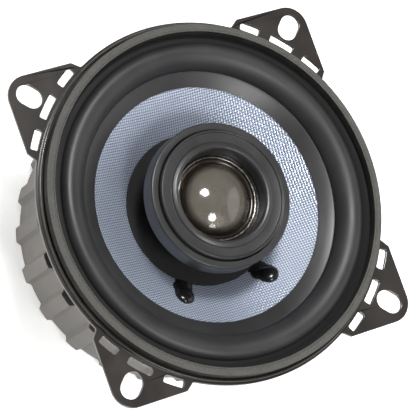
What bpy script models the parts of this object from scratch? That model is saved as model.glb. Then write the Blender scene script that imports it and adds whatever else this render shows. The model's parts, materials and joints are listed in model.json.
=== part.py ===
"""Coaxial car speaker, 100 mm class: a ribbed magnet boot at the back, a pressed basket with four
mounting ears, a woven cone and a dome tweeter on a post. +Z is the speaker axis, towards the
listener, and the origin is the centre of the boot's back face. Units are metres."""

import math

import bmesh
import bpy
from mathutils import Euler, Matrix, Vector

MM = 0.001

# Driving dimensions, in millimetres. Heights marked "front" count from the ears' front face.
DEPTH = 45.5
FLANGE_RADIUS = 50.6
EAR_HALF_SIDE = 46.6
EAR_CORNER_RADIUS = 6.0
EAR_SHOULDER = (46.6, 26.0)
EAR_ROOT = (44.8, 23.6)
SHEET = 1.0
MOUNT_RADIUS = 57.5
MOUNT_SLOT = (7.6, 5.6)
BASE_SLOT_RADII = (50.8, 52.9)
BASE_SLOT_ANGLES = ((-14.3, -8.0), (-4.0, 4.0), (8.0, 14.3))
EAR_ANGLES = (45, 135, 225, 315)

RIM_STEPS = 40
RIM_RADIUS = 49.9
LIP_INNER_RADIUS = 49.4
LIP_HEIGHT = 1.1
LEDGE_HEIGHT = 0.3
WALL_TOP = (43.6, -6.0)
SPIDER_LEDGE = (34.0, -17.1)
SEAT_FRONT = -20.8
SEAT_BACK = -22.0
SEAT_BORE = 15.0
WINDOW_COUNT = 8
WINDOW_WIDTH = 18.0
WINDOW_HEIGHTS = (-15.6, -7.4)
LEAD_SLOT = (11.6, 3.4, 6.0)

TERMINAL_ANGLE = 270
CAPACITOR_ANGLE = 293.0
BOARD_SIZE = (19.6, 10.0, 1.4)
BOARD_RIVETS_ASIDE = (-7.4, 7.4)
BOARD_RIVETS_ALONG = 2.6
BOARD_HOLE_RADIUS = 1.3
BLADES_ALONG = -1.0
BLADES_OUT = 1.9
CAPACITOR_OUT = 3.7

GASKET_RADII = (46.6, 48.9)
ROLL_RADII = (37.05, 43.9)
ROLL_FEET = (-1.2, 0.85)
ROLL_RISE = 3.1
SURROUND_THICKNESS = 0.5

CONE_THICKNESS = 0.6
CONE_LINE = ((36.5, -2.3), (33.0, -4.1), (20.7, -10.8), (13.25, -15.3))
SKIRT_THICKNESS = 0.4
BEAD_ANGLES = (236.5, 297.5)
BEAD_RADIUS = 25.5

FORMER_RADII = (12.4, 12.8)
WINDING_RADII = (13.1, 13.5)
PLATE_BORE = 14.0
POLE_RADIUS = 12.0
SPIDER_HEIGHT = -16.7
SPIDER_RADII = (13.15, 33.5)

TOP_PLATE_RADIUS = 34.0
MAGNET_RADIUS = 38.0
YOKE_RADIUS = 36.5
TOP_PLATE_HEIGHTS = (-26.3, -22.3)
MAGNET_HEIGHTS = (-39.4, -26.6)
YOKE_HEIGHTS = (-43.7, -39.7)
POLE_TOP = -21.8
RIVET_RADIUS = 22.5
RIVET_HOLE_RADIUS = 1.9
RIVET_COUNT = 4

RIB_COUNT = 22
RIB_START = 179.5
WIRE_RIBS = (6, 8)
BOOT_FRONT = -17.2
NOTCH_DEPTH = 3.4
NOTCH_WIDTH = 4.6
BOOT_BACK_THICKNESS = 1.5

POST_RADIUS = 8.0
POST_TOP = -7.3
WIRE_BORE = 2.2
SPIGOT_RADIUS = 3.2
WIRE_RADIUS = 0.42
WIRE_OFFSET = 0.8

CHANNEL_RADIUS = 39.25
WIRE_BACK_HEIGHT = -43.0

DOME_RADIUS = 9.9
DOME_BASE = 1.9
DOME_TOP = 5.4
DOME_SKIN = 0.25
TWEETER_COIL_RADII = (9.55, 9.8)
TWEETER_CUP_RADIUS = 10.8
TWEETER_LEAD_RADIUS = 12.7
SUSPENSION_HEIGHT = 1.62
SUSPENSION_RADII = (10.25, 11.15)


def front(height):
    """World height, in metres, of a height in millimetres from the ears' front face."""
    return (DEPTH + height) * MM


def spot(radius, angle, height):
    """Point at a radius and an angle in degrees round the axis, height from the ears' front."""
    turn = math.radians(angle)
    return Vector((radius * MM * math.cos(turn), radius * MM * math.sin(turn), front(height)))


# ---------------------------------------------------------------- scene, materials and helpers

def clear_scene():
    for obj in list(bpy.data.objects):
        bpy.data.objects.remove(obj, do_unlink=True)


def new_collection(name):
    collection = bpy.data.collections.new(name)
    bpy.context.scene.collection.children.link(collection)
    return collection


def material(name, colour, roughness, metallic=0.0):
    found = bpy.data.materials.get(name)
    if found:
        return found
    made = bpy.data.materials.new(name)
    made.use_nodes = True
    made.diffuse_color = (*colour, 1.0)
    shader = made.node_tree.nodes["Principled BSDF"]
    shader.inputs["Base Color"].default_value = (*colour, 1.0)
    shader.inputs["Roughness"].default_value = roughness
    shader.inputs["Metallic"].default_value = metallic
    return made


def add_object(name, data, finish, parent=None):
    obj = bpy.data.objects.new(name, data)
    PARTS.objects.link(obj)
    if finish:
        data.materials.append(finish)
    obj.parent = parent
    return obj


def make_cutter(obj):
    PARTS.objects.unlink(obj)
    CUTTERS.objects.link(obj)
    obj.hide_render = True
    obj.display_type = "WIRE"
    return obj


def empty(name, location):
    obj = bpy.data.objects.new(name, None)
    PARTS.objects.link(obj)
    obj.location = location
    return obj


def turned(name, profile, steps, finish, parent=None, loop=True):
    """Body of revolution from (radius, height from the ears' front) points. A loop is a ring; an
    open profile starts and ends on the axis. Both run down the outer side."""
    mesh = bpy.data.meshes.new(name)
    base = parent.location.z if parent else 0.0
    points = [(r * MM, 0.0, front(z) - base) for r, z in profile]
    edges = [(i, i + 1) for i in range(len(points) - 1)]
    if loop:
        edges.append((len(points) - 1, 0))
    mesh.from_pydata(points, edges, [])
    obj = add_object(name, mesh, finish, parent)
    screw = obj.modifiers.new("Screw", "SCREW")
    screw.steps = steps
    screw.render_steps = steps
    screw.use_merge_vertices = True
    screw.merge_threshold = 0.00001
    screw.use_smooth_shade = True
    return obj


def ring(name, radii, heights, steps, finish, parent=None):
    """Flat ring between an inner and an outer radius and a lower and an upper height."""
    (inner, outer), (low, high) = radii, heights
    profile = [(outer, high), (outer, low), (inner, low), (inner, high)]
    return turned(name, profile, steps, finish, parent)


def strip(line, thickness):
    """Closed profile of a skin of even thickness about a line that runs from outside to inside."""
    below = []
    above = []
    for i, (r, z) in enumerate(line):
        r0, z0 = line[max(i - 1, 0)]
        r1, z1 = line[min(i + 1, len(line) - 1)]
        length = math.hypot(r1 - r0, z1 - z0)
        nr, nz = (z1 - z0) / length, -(r1 - r0) / length
        below.append((r - nr * thickness / 2, z - nz * thickness / 2))
        above.append((r + nr * thickness / 2, z + nz * thickness / 2))
    return below + above[::-1]


def wire(name, points, radius, finish, parent=None):
    """Round wire along points given in world metres."""
    curve = bpy.data.curves.new(name, "CURVE")
    curve.dimensions = "3D"
    curve.bevel_depth = radius * MM
    curve.bevel_resolution = 2
    curve.use_fill_caps = True
    spline = curve.splines.new("POLY")
    spline.points.add(len(points) - 1)
    origin = parent.location if parent else Vector((0, 0, 0))
    for target, point in zip(spline.points, points):
        target.co = (*(Vector(point) - origin), 1.0)
    return add_object(name, curve, finish, parent)


def smooth_route(points, per_leg=3):
    """Points along a smooth curve through the given ones."""
    ends = [points[0] * 2 - points[1]] + list(points) + [points[-1] * 2 - points[-2]]
    route = []
    for a, b, c, d in zip(ends, ends[1:], ends[2:], ends[3:]):
        for step in range(per_leg):
            t = step / per_leg
            bend = 0.5 * ((c - a) * t + (a * 2 - b * 5 + c * 4 - d) * t ** 2
                          + (b * 3 - a - c * 3 + d) * t ** 3)
            route.append(b + bend)
    route.append(points[-1])
    return route


def mesh_from_curve(obj):
    """The object again as a mesh whose caps are welded, so that it can be cut and joined."""
    bpy.context.view_layer.update()
    graph = bpy.context.evaluated_depsgraph_get()
    mesh = bpy.data.meshes.new_from_object(obj.evaluated_get(graph))
    edit = bmesh.new()
    edit.from_mesh(mesh)
    bmesh.ops.remove_doubles(edit, verts=edit.verts, dist=0.000001)
    edit.to_mesh(mesh)
    edit.free()
    name = obj.name
    place = obj.matrix_world.copy()
    bpy.data.objects.remove(obj, do_unlink=True)
    made = add_object(name, mesh, None)
    made.matrix_world = place
    return made


def plate(name, outlines, low, high, finish):
    """Flat plate from closed outlines in millimetres: the first is the edge, the others holes."""
    curve = bpy.data.curves.new(name, "CURVE")
    curve.dimensions = "2D"
    curve.fill_mode = "BOTH"
    curve.extrude = (high - low) / 2 * MM
    for outline in outlines:
        spline = curve.splines.new("POLY")
        spline.points.add(len(outline) - 1)
        spline.use_cyclic_u = True
        for target, (x, y) in zip(spline.points, outline):
            target.co = (x * MM, y * MM, 0.0, 1.0)
    obj = add_object(name, curve, finish)
    obj.location.z = front((low + high) / 2)
    return mesh_from_curve(obj)


def box(name, size, finish, place):
    """Box of a size in millimetres, centred at a world or parent matrix."""
    mesh = bpy.data.meshes.new(name)
    edit = bmesh.new()
    bmesh.ops.create_cube(edit, size=1.0)
    bmesh.ops.scale(edit, vec=[side * MM for side in size], verts=edit.verts)
    edit.to_mesh(mesh)
    edit.free()
    obj = add_object(name, mesh, finish)
    obj.matrix_world = place
    return obj


def rod(name, radius, length, sides, finish, place, radius_top=None):
    """Cylinder or cone along its own Z, centred at a matrix."""
    mesh = bpy.data.meshes.new(name)
    edit = bmesh.new()
    bmesh.ops.create_cone(
        edit, cap_ends=True, segments=sides, radius1=radius * MM,
        radius2=(radius if radius_top is None else radius_top) * MM, depth=length * MM)
    edit.to_mesh(mesh)
    edit.free()
    mesh.shade_smooth()
    mesh.set_sharp_from_angle(angle=math.radians(40))
    obj = add_object(name, mesh, finish)
    obj.matrix_world = place
    return obj


def boolean(obj, other, operation):
    modifier = obj.modifiers.new(operation.title(), "BOOLEAN")
    modifier.operation = operation
    modifier.object = other
    return modifier


def cut(obj, cutter):
    boolean(obj, make_cutter(cutter), "DIFFERENCE")


def join(obj, other):
    boolean(obj, make_cutter(other), "UNION")


def upright(radius, angle, height):
    """Matrix of a frame at a spot whose X points outwards and whose Z stays up."""
    return Matrix.Translation(spot(radius, angle, height)) @ Matrix.Rotation(math.radians(angle), 4, "Z")


# ------------------------------------------------------------------------------------- outlines

def arc(centre, radius, first, last, count):
    """Points on an arc from one angle to another, in degrees."""
    x, y = centre
    angles = [math.radians(first + (last - first) * i / count) for i in range(count + 1)]
    return [(x + radius * math.cos(a), y + radius * math.sin(a)) for a in angles]


def turned_points(points, angle):
    c, s = math.cos(math.radians(angle)), math.sin(math.radians(angle))
    return [(x * c - y * s, x * s + y * c) for x, y in points]


def flange_outline():
    """Round flange with a square-cornered ear in each quadrant."""
    inner = EAR_HALF_SIDE - EAR_CORNER_RADIUS
    corner = arc((inner, inner), EAR_CORNER_RADIUS, 0, 90, 6)
    ear = [EAR_ROOT, EAR_SHOULDER] + corner + [EAR_SHOULDER[::-1], EAR_ROOT[::-1]]
    root = math.degrees(math.atan2(EAR_ROOT[1], EAR_ROOT[0]))
    rim = arc((0, 0), FLANGE_RADIUS, 90 - root, 90 + root, 10)[1:-1]
    outline = []
    for quarter in (0, 90, 180, 270):
        outline += turned_points(ear + rim, quarter)
    return outline


def mount_slot_outline(angle):
    length, width = MOUNT_SLOT
    reach = (length - width) / 2
    points = arc((MOUNT_RADIUS + reach, 0), width / 2, -90, 90, 7)
    points += arc((MOUNT_RADIUS - reach, 0), width / 2, 90, 270, 7)
    return turned_points(points, angle)


def base_slot_outline(angle, span):
    inner, outer = BASE_SLOT_RADII
    first, last = angle + span[0], angle + span[1]
    return arc((0, 0), outer, first, last, 3) + arc((0, 0), inner, last, first, 3)


# ---------------------------------------------------------------------------------- the chassis

def wall_slope():
    """Angle of the basket's sloping wall from the axis."""
    return math.atan2(WALL_TOP[0] - SPIDER_LEDGE[0], WALL_TOP[1] - SPIDER_LEDGE[1])


def wall_frame(angle, along=0.0, aside=0.0, out=0.0):
    """Matrix on the outside of the sloping wall: X runs round the axis, Y up the slope and Z out."""
    slope = wall_slope()
    middle_r = (WALL_TOP[0] + SPIDER_LEDGE[0]) / 2 + SHEET * math.cos(slope)
    middle_z = (WALL_TOP[1] + SPIDER_LEDGE[1]) / 2 - SHEET * math.sin(slope)
    turn = Matrix.Rotation(math.radians(angle + 90), 4, "Z")
    tilt = Matrix.Rotation(math.pi / 2 + slope, 4, "X")
    middle = Matrix.Translation((0, -middle_r * MM, front(middle_z)))
    return turn @ middle @ tilt @ Matrix.Translation((aside * MM, along * MM, out * MM))


def rivet_angle(index):
    return 45 + index * 360 / RIVET_COUNT


def build_basket():
    """Pressed sheet: rim with a lip, sloping wall with windows, spider ledge and motor seat."""
    wall_r, wall_z = WALL_TOP
    ledge_r, ledge_z = SPIDER_LEDGE
    profile = [
        (RIM_RADIUS, LIP_HEIGHT), (RIM_RADIUS, -SHEET), (46.2, -SHEET), (45.9, -2.2),
        (wall_r + SHEET, wall_z - 0.5), (ledge_r + 0.6, ledge_z - 1.1), (31.3, ledge_z - 1.1),
        (30.8, SEAT_BACK), (SEAT_BORE, SEAT_BACK), (SEAT_BORE, SEAT_FRONT), (29.6, SEAT_FRONT),
        (30.2, ledge_z), (ledge_r, ledge_z), (wall_r, wall_z), (44.9, -1.5),
        (45.2, LEDGE_HEIGHT), (LIP_INNER_RADIUS, LEDGE_HEIGHT), (LIP_INNER_RADIUS, LIP_HEIGHT),
    ]
    coat = material("black_powder_coat", (0.045, 0.040, 0.038), 0.5, 0.1)
    basket = turned("basket", profile, RIM_STEPS, coat)
    hole = arc((0, 0), (RIM_RADIUS + LIP_INNER_RADIUS) / 2, 0, 360, RIM_STEPS)[:-1]
    slots = [mount_slot_outline(angle) for angle in EAR_ANGLES]
    slots += [base_slot_outline(angle, span) for angle in EAR_ANGLES for span in BASE_SLOT_ANGLES]
    join(basket, plate("basket_ears", [flange_outline(), hole] + slots, -SHEET, 0.0, coat))
    low, high = WINDOW_HEIGHTS
    for index in range(WINDOW_COUNT):
        angle = index * 360 / WINDOW_COUNT
        if angle == TERMINAL_ANGLE:
            continue
        size = (22.0, WINDOW_WIDTH, high - low)
        cut(basket, box(f"window_cutter_{index}", size, None, upright(40.0, angle, (low + high) / 2)))
    for index in range(RIVET_COUNT):
        place = Matrix.Translation(spot(RIVET_RADIUS, rivet_angle(index), SEAT_FRONT))
        cut(basket, rod(f"rivet_cutter_{index}", RIVET_HOLE_RADIUS, 6.0, 12, None, place))
    place = wall_frame(TERMINAL_ANGLE, along=BLADES_ALONG)
    cut(basket, box("lead_slot_cutter", LEAD_SLOT, None, place))
    for index, aside in enumerate(BOARD_RIVETS_ASIDE):
        place = wall_frame(TERMINAL_ANGLE, BOARD_RIVETS_ALONG, aside)
        cut(basket, rod(f"board_rivet_cutter_{index}", BOARD_HOLE_RADIUS, 8.0, 12, None, place))


def build_gasket():
    inner, outer = GASKET_RADII
    base = LIP_HEIGHT + 0.3
    profile = [
        (outer - 0.3, 4.0), (outer, 3.6), (outer, base), (inner, base), (inner, 4.0), (inner + 0.4, 4.4),
    ]
    foam = material("gasket_foam", (0.13, 0.13, 0.12), 0.9)
    turned("front_gasket", profile, RIM_STEPS, foam)


def build_surround():
    """Outer land on the basket's ledge, half roll, and inner land on the cone."""
    inner, outer = ROLL_RADII
    middle, half = (inner + outer) / 2, (outer - inner) / 2
    line = [(48.6, 0.85), (outer + 0.3, 0.85)]
    count = 7
    for step in range(1, count):
        turn = math.pi * step / count
        base = ROLL_FEET[1] + (ROLL_FEET[0] - ROLL_FEET[1]) * (1 - math.cos(turn)) / 2
        line.append((middle + half * math.cos(turn), base + ROLL_RISE * math.sin(turn)))
    line += [(inner, -1.3), (33.0, -3.4)]
    rubber = material("surround_rubber", (0.05, 0.05, 0.05), 0.45)
    turned("surround", strip(line, SURROUND_THICKNESS), RIM_STEPS, rubber)


# ------------------------------------------------------------------------------------- the cone

def build_cone(parent):
    weave = material("glass_fibre_weave", (0.45, 0.52, 0.66), 0.35)
    turned("cone", strip(CONE_LINE, CONE_THICKNESS), 36, weave, parent)


def build_skirt(parent):
    """Cloth ring from the cone to just short of the tweeter post."""
    line = [(21.2, -9.72), (19.6, -9.35), (16.0, -9.6), (12.0, -10.7), (8.9, -11.4)]
    cloth = material("black_cloth", (0.015, 0.015, 0.017), 0.95)
    turned("dust_skirt", strip(line, SKIRT_THICKNESS), 28, cloth, parent)


def build_beads(parent):
    """Flattened drops of adhesive over the two lead joints."""
    glue = material("black_adhesive", (0.01, 0.01, 0.01), 0.15)
    (outer_r, outer_z), (inner_r, inner_z) = CONE_LINE[1], CONE_LINE[2]
    slope = math.atan2(outer_z - inner_z, outer_r - inner_r)
    height = inner_z + (BEAD_RADIUS - inner_r) * math.tan(slope)
    for index, angle in enumerate(BEAD_ANGLES, 1):
        mesh = bpy.data.meshes.new(f"lead_bead_{index}")
        edit = bmesh.new()
        bmesh.ops.create_uvsphere(edit, u_segments=14, v_segments=7, radius=1.0)
        bmesh.ops.scale(edit, vec=(3.1 * MM, 3.2 * MM, 0.9 * MM), verts=edit.verts)
        tilt = Matrix.Rotation(-slope, 3, "Y")
        bmesh.ops.transform(edit, matrix=tilt.to_4x4(), verts=edit.verts)
        edit.to_mesh(mesh)
        edit.free()
        mesh.shade_smooth()
        obj = add_object(f"lead_bead_{index}", mesh, glue, parent)
        obj.location = spot(BEAD_RADIUS, angle, height + 1.9) - parent.location
        obj.rotation_euler = Euler((0, 0, math.radians(angle)))


def build_coil(parent):
    film = material("former_film", (0.35, 0.17, 0.05), 0.35)
    copper = material("copper_wire", (0.55, 0.22, 0.09), 0.3, 1.0)
    ring("voice_coil_former", FORMER_RADII, (-28.4, -13.6), 28, film, parent)
    ring("voice_coil_winding", WINDING_RADII, (-28.2, -20.0), 28, copper, parent)


def build_spider():
    """Flat rim on the ledge, then concentric waves in to the former."""
    inner, outer = SPIDER_RADII
    line = [(outer, SPIDER_HEIGHT), (30.0, SPIDER_HEIGHT)]
    waves, per_wave, wave_height = 3, 4, 0.65
    first, last = 29.0, 15.4
    for step in range(waves * per_wave + 1):
        share = step / (waves * per_wave)
        wave = wave_height * math.sin(2 * math.pi * waves * share)
        line.append((first + (last - first) * share, SPIDER_HEIGHT + wave))
    line += [(14.6, SPIDER_HEIGHT), (inner, SPIDER_HEIGHT)]
    cloth = material("spider_cloth", (0.42, 0.26, 0.10), 0.9)
    turned("spider", strip(line, 0.35), 28, cloth)


def build_tinsel_leads():
    braid = material("tinsel_braid", (0.60, 0.42, 0.25), 0.45, 0.6)
    for index, (angle, aside) in enumerate(zip(BEAD_ANGLES, (-3.2, 3.2)), 1):
        end = wall_frame(TERMINAL_ANGLE, BLADES_ALONG, aside, out=-5.4).translation
        start = spot(BEAD_RADIUS, angle, -10.0)
        below = spot(BEAD_RADIUS + 1.4, angle, -11.8)
        sag = start * 0.45 + end * 0.55 - Vector((0, 0, 2.0 * MM))
        wire(f"tinsel_lead_{index}", smooth_route([start, below, sag, end]), 0.4, braid)


# ------------------------------------------------------------------------------------ the motor

def build_motor():
    steel = material("zinc_steel", (0.50, 0.50, 0.47), 0.35, 1.0)
    ferrite = material("ferrite", (0.035, 0.035, 0.038), 0.7)
    top_plate = ring("top_plate", (PLATE_BORE, TOP_PLATE_RADIUS), TOP_PLATE_HEIGHTS, 32, steel)
    for index in range(RIVET_COUNT):
        place = Matrix.Translation(spot(RIVET_RADIUS, rivet_angle(index), TOP_PLATE_HEIGHTS[1]))
        cut(top_plate, rod(f"top_plate_cutter_{index}", RIVET_HOLE_RADIUS, 5.6, 12, None, place))
    ring("ferrite_magnet", (17.0, MAGNET_RADIUS), MAGNET_HEIGHTS, 36, ferrite)
    low, high = YOKE_HEIGHTS
    profile = [
        (POLE_RADIUS - 0.6, POLE_TOP), (POLE_RADIUS, POLE_TOP - 0.6), (POLE_RADIUS, high),
        (YOKE_RADIUS - 0.6, high), (YOKE_RADIUS, high - 0.6), (YOKE_RADIUS, low + 0.6),
        (YOKE_RADIUS - 0.6, low), (6.2, low), (6.2, high + 0.4), (3.5, high + 0.4), (3.5, POLE_TOP),
    ]
    yoke = turned("pole_yoke", profile, 28, steel)
    for index, angle in enumerate(wire_rib_angles()):
        place = upright((YOKE_RADIUS + 4.0) / 2 + 1.0, angle, low)
        cut(yoke, box(f"wire_groove_cutter_{index}", (YOKE_RADIUS, 2.2, 3.4), None, place))


def build_rivets():
    """Rivets with a head on the motor seat and a shank in the top plate."""
    steel = material("rivet_steel", (0.55, 0.55, 0.55), 0.35, 1.0)
    head, shank = 2.9, 1.5
    for index in range(RIVET_COUNT):
        place = spot(RIVET_RADIUS, rivet_angle(index), 0)
        profile = [
            (0.0, SEAT_FRONT + 1.5), (head * 0.7, SEAT_FRONT + 1.3), (head, SEAT_FRONT + 0.8),
            (head, SEAT_FRONT + 0.3), (shank, SEAT_FRONT + 0.3), (shank, -24.6), (0.0, -24.6),
        ]
        obj = turned(f"basket_rivet_{index + 1}", profile, 12, steel, loop=False)
        obj.location = (place.x, place.y, 0)


def rib_radius(angle, base, rise):
    """Radius of the boot at an angle: a base circle with rounded ribs at even spacing."""
    pitch = 360 / RIB_COUNT
    off = abs((angle - RIB_START + pitch / 2) % pitch - pitch / 2) / pitch
    flat, flank = 0.13, 0.075
    if off < flat:
        return base + rise
    return base + rise * max(0.0, 1 - (off - flat) / flank)


def boot_angles():
    """Angles of the boot's outline: the four corners of each rib."""
    pitch = 360 / RIB_COUNT
    offsets = (-0.205, -0.13, 0.13, 0.205)
    return [RIB_START + pitch * (index + offset) for index in range(RIB_COUNT) for offset in offsets]


def wire_rib_angles():
    """Ribs whose channels carry the tweeter wires to the back of the motor."""
    pitch = 360 / RIB_COUNT
    return [RIB_START + pitch * rib for rib in WIRE_RIBS]


def build_boot():
    """Ribbed rubber cup, lofted through ribbed rings, with a rounded back edge and front notches."""
    rubber = material("boot_rubber", (0.20, 0.19, 0.18), 0.65)
    back = -DEPTH
    floor = back + BOOT_BACK_THICKNESS
    rings = [
        (36.9, 0.2, back), (39.0, 0.9, back + 0.6), (39.9, 1.2, back + 1.7), (40.2, 1.3, back + 3.2),
        (40.2, 1.3, BOOT_FRONT), (38.4, 1.7, BOOT_FRONT), (38.4, 1.7, floor + 1.0), (37.4, 1.2, floor),
    ]
    edit = bmesh.new()
    angles = boot_angles()
    loops = []
    for base, rise, height in rings:
        points = [spot(rib_radius(angle, base, rise), angle, height) for angle in angles]
        loops.append([edit.verts.new(point) for point in points])
    for lower, upper in zip(loops, loops[1:]):
        for i in range(len(angles)):
            j = (i + 1) % len(angles)
            edit.faces.new((lower[i], lower[j], upper[j], upper[i]))
    edit.faces.new(loops[0][::-1])
    edit.faces.new(loops[-1])
    bmesh.ops.recalc_face_normals(edit, faces=edit.faces)
    mesh = bpy.data.meshes.new("magnet_boot")
    edit.to_mesh(mesh)
    edit.free()
    mesh.shade_smooth()
    mesh.set_sharp_from_angle(angle=math.radians(35))
    boot = add_object("magnet_boot", mesh, rubber)
    for index in range(RIB_COUNT):
        angle = RIB_START + index * 360 / RIB_COUNT
        place = upright(40.0, angle, BOOT_FRONT)
        cut(boot, box(f"notch_cutter_{index}", (6.0, NOTCH_WIDTH, NOTCH_DEPTH * 2), None, place))


# ---------------------------------------------------------------------------------- the tweeter

def build_post():
    """Hollow post on the pole's front; its threaded spigot passes through the pole to the nut."""
    black = material("post_metal", (0.03, 0.03, 0.03), 0.4, 0.8)
    collar, collar_radius, seat, end = POST_TOP + 1.6, 4.6, POLE_TOP + 0.3, -41.8
    profile = [
        (collar_radius, collar), (collar_radius, POST_TOP), (POST_RADIUS, POST_TOP), (POST_RADIUS, seat),
        (SPIGOT_RADIUS, seat), (SPIGOT_RADIUS, end), (WIRE_BORE, end), (WIRE_BORE, collar),
    ]
    turned("tweeter_post", profile, 20, black)
    zinc = material("zinc_steel", (0.50, 0.50, 0.47), 0.35, 1.0)
    place = Matrix.Translation(spot(0, 0, -40.65))
    nut = rod("post_nut", 5.4, 1.9, 6, zinc, place)
    cut(nut, rod("nut_bore_cutter", SPIGOT_RADIUS + 0.3, 6.0, 20, None, place))


def build_housing():
    """Cup of the tweeter: straight side, funnel below it, and a floor that sits on the post."""
    plastic = material("housing_plastic", (0.06, 0.06, 0.062), 0.45)
    profile = [
        (18.4, 6.0), (20.0, 6.0), (20.3, 5.7), (20.3, 0.1), (19.6, -0.8), (10.6, -6.3), (9.0, -7.0),
        (4.9, -7.0), (4.9, -4.9), (9.6, -4.9), (18.1, 0.2), (18.1, 5.4),
    ]
    turned("tweeter_housing", profile, 32, plastic)


def build_bezel():
    plastic = material("bezel_plastic", (0.055, 0.055, 0.058), 0.4)
    profile = [
        (14.7, 6.95), (17.1, 7.55), (17.5, 7.3), (17.7, 5.2), (17.7, 1.6), (16.9, 1.6), (16.4, 5.0),
        (13.2, 5.0), (13.2, 2.7), (12.8, 2.7), (12.8, 6.5), (13.2, 6.9),
    ]
    turned("tweeter_bezel", profile, 32, plastic)


def build_tweeter_motor():
    steel = material("nickel_steel", (0.60, 0.58, 0.54), 0.3, 1.0)
    plastic = material("chassis_plastic", (0.02, 0.02, 0.02), 0.5)
    felt = material("felt", (0.25, 0.24, 0.22), 0.98)
    bore, sleeve = TWEETER_CUP_RADIUS + 0.3, TWEETER_CUP_RADIUS + 1.0
    chassis = turned("tweeter_chassis", [
        (17.7, 1.2), (17.7, 0.3), (sleeve, 0.3), (sleeve, -1.3), (bore, -1.3), (bore, 1.2)], 28, plastic)
    for index, side in enumerate((-1, 1)):
        place = Matrix.Translation(spot(TWEETER_LEAD_RADIUS * side, 0, 0.8))
        cut(chassis, rod(f"lead_hole_cutter_{index}", 0.75, 4.0, 12, None, place))
    outer, inner = TWEETER_CUP_RADIUS, TWEETER_CUP_RADIUS - 0.7
    turned("tweeter_magnet_cup", [
        (0.0, -2.0), (inner, -2.0), (inner, 1.0), (outer, 1.0), (outer, -2.9), (0.0, -2.9)],
        24, steel, loop=False)
    plate_radius = TWEETER_COIL_RADII[0] - 0.3
    rod("tweeter_magnet", 8.2, 1.2, 24, steel, Matrix.Translation(spot(0, 0, -1.1)))
    rod("tweeter_pole_plate", plate_radius, 1.2, 24, steel, Matrix.Translation(spot(0, 0, 0.4)))
    place = Matrix.Translation(spot(0, 0, 1.75))
    rod("tweeter_damping_pad", 9.1, 0.9, 24, felt, place, radius_top=8.5)
    bright = material("satin_ring", (0.35, 0.35, 0.35), 0.3, 0.6)
    ring("tweeter_retaining_ring", (11.3, 12.5), (2.0, 2.4), 28, bright)


def build_tweeter_diaphragm(parent):
    film = material("smoky_film", (0.20, 0.19, 0.17), 0.12)
    copper = material("copper_wire", (0.55, 0.22, 0.09), 0.3, 1.0)
    rise = DOME_TOP - DOME_BASE
    sphere = (DOME_RADIUS ** 2 + rise ** 2) / (2 * rise)
    widest = math.asin(DOME_RADIUS / sphere)
    rings = 5
    centre = DOME_TOP - sphere
    outer = []
    inner = []
    for step in range(rings + 1):
        turn = widest * step / rings
        for side, radius in ((outer, sphere), (inner, sphere - DOME_SKIN)):
            side.append((radius * math.sin(turn), centre + radius * math.cos(turn)))
    turned("tweeter_dome", outer + inner[::-1], 24, film, parent, loop=False)
    ring("tweeter_coil", TWEETER_COIL_RADII, (-0.8, 1.5), 24, copper, parent)


def build_tweeter_suspension():
    """Small half roll from the dome's edge to the land under the retaining ring."""
    film = material("suspension_film", (0.10, 0.055, 0.035), 0.2)
    inner, outer = SUSPENSION_RADII
    middle, half, rise = (inner + outer) / 2, (outer - inner) / 2, 0.45
    line = [(12.4, SUSPENSION_HEIGHT), (outer, SUSPENSION_HEIGHT)]
    for step in range(1, 4):
        turn = math.pi * step / 4
        line.append((middle + half * math.cos(turn), SUSPENSION_HEIGHT + rise * math.sin(turn)))
    line.append((inner, SUSPENSION_HEIGHT))
    turned("tweeter_suspension", strip(line, 0.22), 24, film)


def build_tweeter_wires():
    """Two wires from the terminals, down a boot channel, in along the yoke and up to the tweeter."""
    colours = (("negative", (0.02, 0.02, 0.02)), ("positive", (0.45, 0.03, 0.02)))
    starts = (wall_frame(TERMINAL_ANGLE, along=-3.4, aside=6.6, out=2.6).translation,
              wall_frame(CAPACITOR_ANGLE, along=-2.6, aside=7.4, out=2.4).translation)
    for (name, colour), angle, side, start in zip(colours, wire_rib_angles(), (-1, 1), starts):
        insulation = material(f"wire_{name}", colour, 0.4)
        route = [start, spot(41.0, angle, -16.6)]
        route += [spot(CHANNEL_RADIUS, angle, height) for height in (-20.5, -30.0, -40.0)]
        route += [spot(38.7, angle, -42.1), spot(37.3, angle, WIRE_BACK_HEIGHT + 0.05)]
        route += [spot(radius, angle, WIRE_BACK_HEIGHT) for radius in (30.0, 18.0, 5.0)]
        bore_side = 0 if side > 0 else 180
        route += [spot(WIRE_OFFSET, bore_side, height) for height in (-42.4, -38.0, -25.0, -12.0, -6.0)]
        route += [
            spot(side * 2.6, 0, -4.1), spot(side * 8.0, 0, -4.2), spot(side * 11.6, 0, -3.2),
            spot(side * TWEETER_LEAD_RADIUS, 0, -1.4), spot(side * TWEETER_LEAD_RADIUS, 0, 0.9),
        ]
        wire(f"tweeter_wire_{name}", smooth_route(route, per_leg=2), WIRE_RADIUS, insulation)


# ------------------------------------------------------------------------------ the connections

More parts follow.
